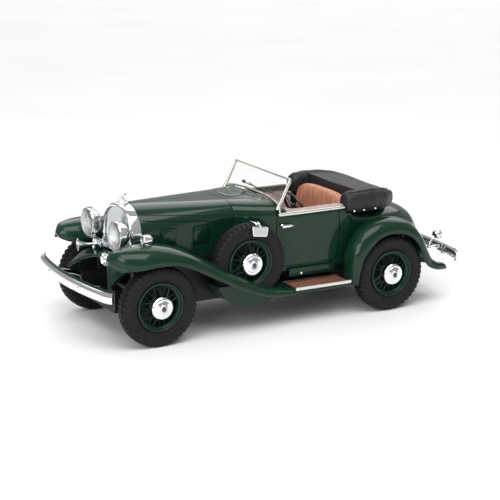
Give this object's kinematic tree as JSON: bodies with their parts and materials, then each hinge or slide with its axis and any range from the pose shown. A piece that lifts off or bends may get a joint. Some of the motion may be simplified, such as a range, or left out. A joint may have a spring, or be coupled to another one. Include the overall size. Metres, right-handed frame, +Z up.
{
  "type": "diecast collector car",
  "caption": "Small-scale collector model of an open two-seat 1930s touring car with wire wheels, side-mounted spares, folded hood, and wheel sets that roll on steel axles.",
  "frame": {"origin": "on the ground, under the middle of the model's bounding box", "axes": "+X forward, towards the radiator; +Y to the car's left; +Z up"},
  "size_m": [0.1108, 0.0426, 0.0375],
  "materials": {
    "body_paint": "gloss",
    "wheel_paint": "gloss",
    "chassis_black": "satin",
    "tyre": "matte",
    "chrome": "polished",
    "grille": "satin",
    "board_mat": "matte",
    "lens_glass": "clear",
    "screen_glass": "clear",
    "black_trim": "satin",
    "carpet": "matte",
    "dash_wood": "gloss",
    "leather": "satin",
    "hood_cloth": "matte",
    "axle_steel": "satin",
    "tail_lamp": "gloss"
  },
  "bodies": {
    "car": {"chassis": "chassis_black", "body_shell": "body_paint", "bonnet": "body_paint", "bonnet_vents": "body_paint", "cowl_vent": "body_paint", "front_fender_left": "body_paint", "front_fender_right": "body_paint", "rear_fender_left": "body_paint", "rear_fender_right": "body_paint", "running_board_left": "body_paint", "running_board_right": "body_paint", "board_mats": "board_mat", "board_trims": "chrome", "front_apron": "body_paint", "rear_apron": "body_paint", "radiator_shell": "chrome", "radiator_grille": "grille", "radiator_cap": "chrome", "headlamp_left": "chrome", "headlamp_right": "chrome", "headlamp_lenses": "lens_glass", "lamp_bar": "chrome", "horns": "chrome", "fender_lamps": "chrome", "front_bumper": "chrome", "front_bumper_irons": "chrome", "rear_bumper": "chrome", "rear_bumper_irons": "chrome", "tail_lamps": "tail_lamp", "windscreen_frame": "chrome", "windscreen_glass": "screen_glass", "wipers": "black_trim", "dashboard": "dash_wood", "steering_wheel": "black_trim", "cockpit_floor": "carpet", "seat_cushion": "leather", "seat_back": "leather", "hood_cover": "hood_cloth", "hood_studs": "chrome", "door_handles": "chrome", "belt_trims": "chrome", "sill_steps": "body_paint", "spare_tyre_left": "tyre", "spare_tyre_right": "tyre", "spare_wheel_left": "wheel_paint", "spare_wheel_right": "wheel_paint", "spare_hubcaps": "chrome", "mirrors": "chrome"},
    "front_wheels": {"front_axle": "axle_steel", "tyre_front_left": "tyre", "tyre_front_right": "tyre", "wheel_front_left": "wheel_paint", "wheel_front_right": "wheel_paint", "front_hubcaps": "chrome"},
    "rear_wheels": {"rear_axle": "axle_steel", "tyre_rear_left": "tyre", "tyre_rear_right": "tyre", "wheel_rear_left": "wheel_paint", "wheel_rear_right": "wheel_paint", "rear_hubcaps": "chrome"}
  },
  "joints": [
    {"name": "front_axle_roll", "type": "hinge", "parent": "car", "child": "front_wheels", "pos_m": [0.0381, 0, 0.01015], "axis": [0, 1, 0], "continuous": true},
    {"name": "rear_axle_roll", "type": "hinge", "parent": "car", "child": "rear_wheels", "pos_m": [-0.0304, 0, 0.01015], "axis": [0, 1, 0], "continuous": true}
  ]
}
